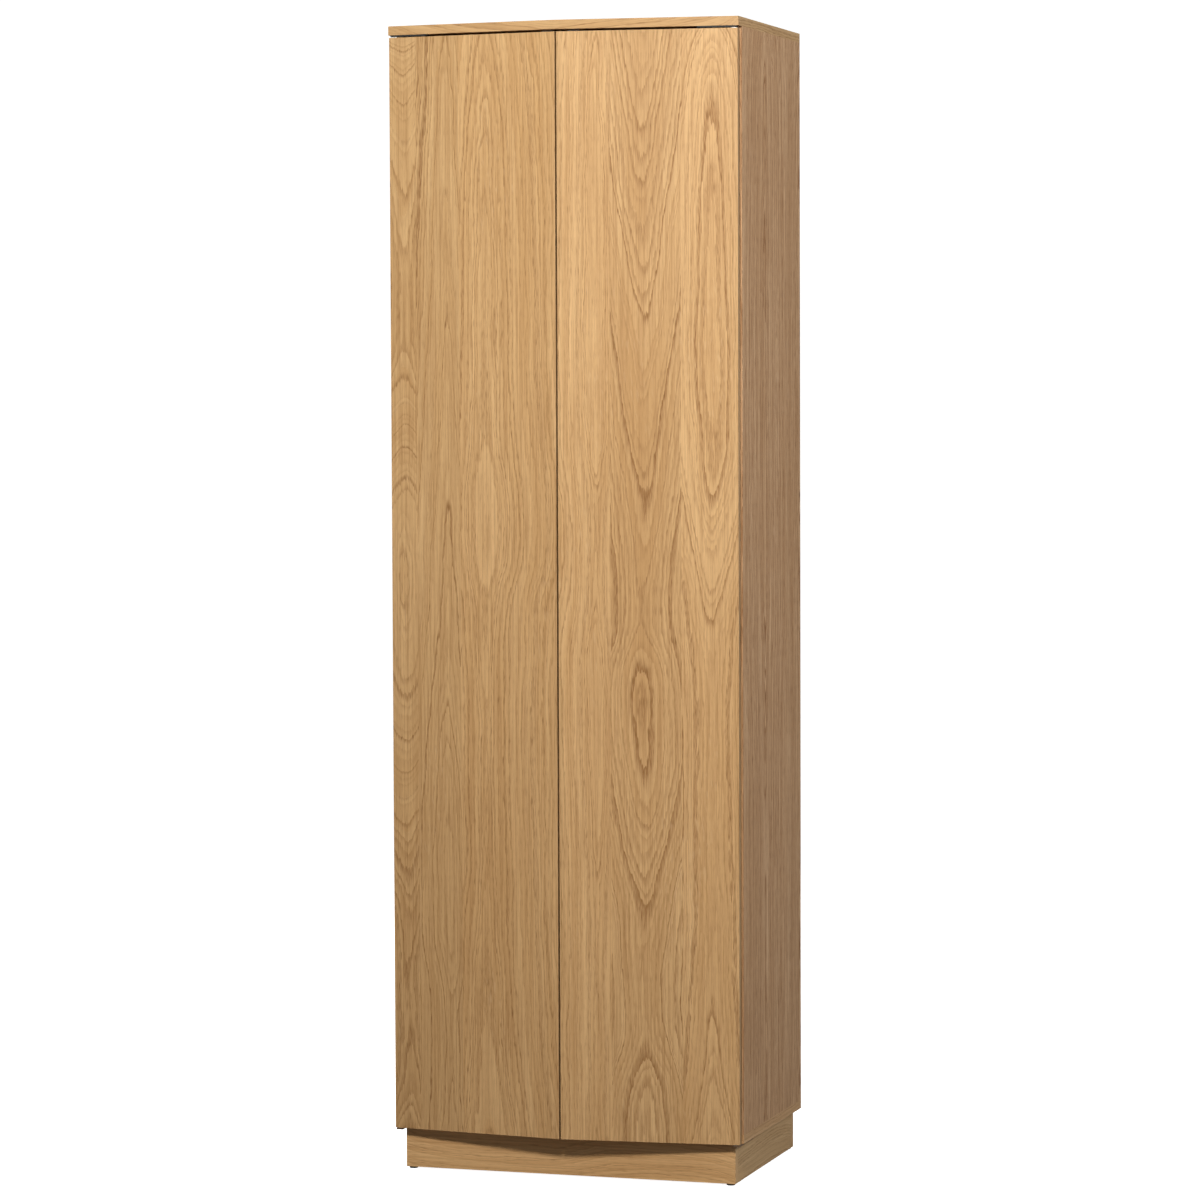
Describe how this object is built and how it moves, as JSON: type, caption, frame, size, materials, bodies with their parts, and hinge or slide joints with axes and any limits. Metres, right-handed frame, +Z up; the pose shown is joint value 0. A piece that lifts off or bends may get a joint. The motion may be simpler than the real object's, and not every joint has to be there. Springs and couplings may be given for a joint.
{
  "type": "pantry cabinet",
  "caption": "Tall handleless oak-veneer pantry cabinet with a shallow V-shaped front, hinged doors on pivots, push latches, shelves and a set-back plinth.",
  "frame": {"origin": "on the floor under the centre of the bounding box", "axes": "+Z up, front towards -Y, +X to the right as seen from the front"},
  "size_m": [0.6, 0.41, 1.9],
  "materials": {
    "oak_front": "satin lacquered oak veneer, vertical grain",
    "oak_top": "satin lacquered oak veneer, grain across",
    "oak_carcass": "satin lacquered oak veneer",
    "oak_plinth": "satin lacquered oak veneer, grain across",
    "back_sheet": "oak-faced fibreboard",
    "pine_block": "planed pine",
    "beech_dowel": "fluted beech",
    "dark_plastic": "moulded",
    "grey_plastic": "moulded",
    "white_nylon": "moulded nylon",
    "black_steel": "black coated steel",
    "zinc_casting": "die-cast zinc",
    "zinc_steel": "zinc-plated steel"
  },
  "bodies": {
    "carcass": {"adjustable_shelf_1": "oak_carcass", "adjustable_shelf_2": "oak_carcass", "adjustable_shelf_3": "oak_carcass", "adjustable_shelf_4": "oak_carcass", "anti_tip_bracket": "zinc_steel", "anti_tip_screws": "zinc_steel", "back_panel": "back_sheet", "bottom_board": "oak_carcass", "cam_bolts": "zinc_steel", "cam_locks": "zinc_casting", "fixed_shelf": "oak_carcass", "floor_glides": "dark_plastic", "latch_screws": "zinc_steel", "left_bottom_pivot_plate": "black_steel", "left_latch_housing": "grey_plastic", "left_pivot_pins": "zinc_steel", "left_side_panel": "oak_carcass", "left_top_pivot_plate": "black_steel", "pivot_plate_screws": "zinc_steel", "plinth_back": "oak_plinth", "plinth_corner_blocks": "pine_block", "plinth_front": "oak_plinth", "plinth_left": "oak_plinth", "plinth_right": "oak_plinth", "plinth_screws": "zinc_steel", "right_bottom_pivot_plate": "black_steel", "right_latch_housing": "grey_plastic", "right_pivot_pins": "zinc_steel", "right_side_panel": "oak_carcass", "right_top_pivot_plate": "black_steel", "shelf_pins": "zinc_steel", "top_board": "oak_top", "wood_dowels": "beech_dowel"},
    "left_door_leaf": {"left_door": "oak_front", "left_pivot_bushes": "white_nylon", "left_strike_plate": "zinc_steel", "left_strike_screws": "zinc_steel"},
    "right_door_leaf": {"right_door": "oak_front", "right_pivot_bushes": "white_nylon", "right_strike_plate": "zinc_steel", "right_strike_screws": "zinc_steel"},
    "left_plunger": {"left_latch_plunger": "grey_plastic"},
    "right_plunger": {"right_latch_plunger": "grey_plastic"}
  },
  "joints": [
    {"name": "right_door_hinge", "type": "hinge", "parent": "carcass", "child": "right_door_leaf", "pos_m": [0.29084, -0.16888, 0.9775], "axis": [0, 0, 1], "range_deg": [0, 110]},
    {"name": "left_door_hinge", "type": "hinge", "parent": "carcass", "child": "left_door_leaf", "pos_m": [-0.29084, -0.16888, 0.9775], "axis": [0, 0, -1], "range_deg": [0, 110]},
    {"name": "right_latch_slide", "type": "slide", "parent": "carcass", "child": "right_plunger", "axis": [-0.0995, 0.995, 0], "range_m": [0, 0.003], "stiffness_N_per_m": 200, "springref_m": -0.01},
    {"name": "left_latch_slide", "type": "slide", "parent": "carcass", "child": "left_plunger", "axis": [0.0995, 0.995, 0], "range_m": [0, 0.003], "stiffness_N_per_m": 200, "springref_m": -0.01}
  ]
}
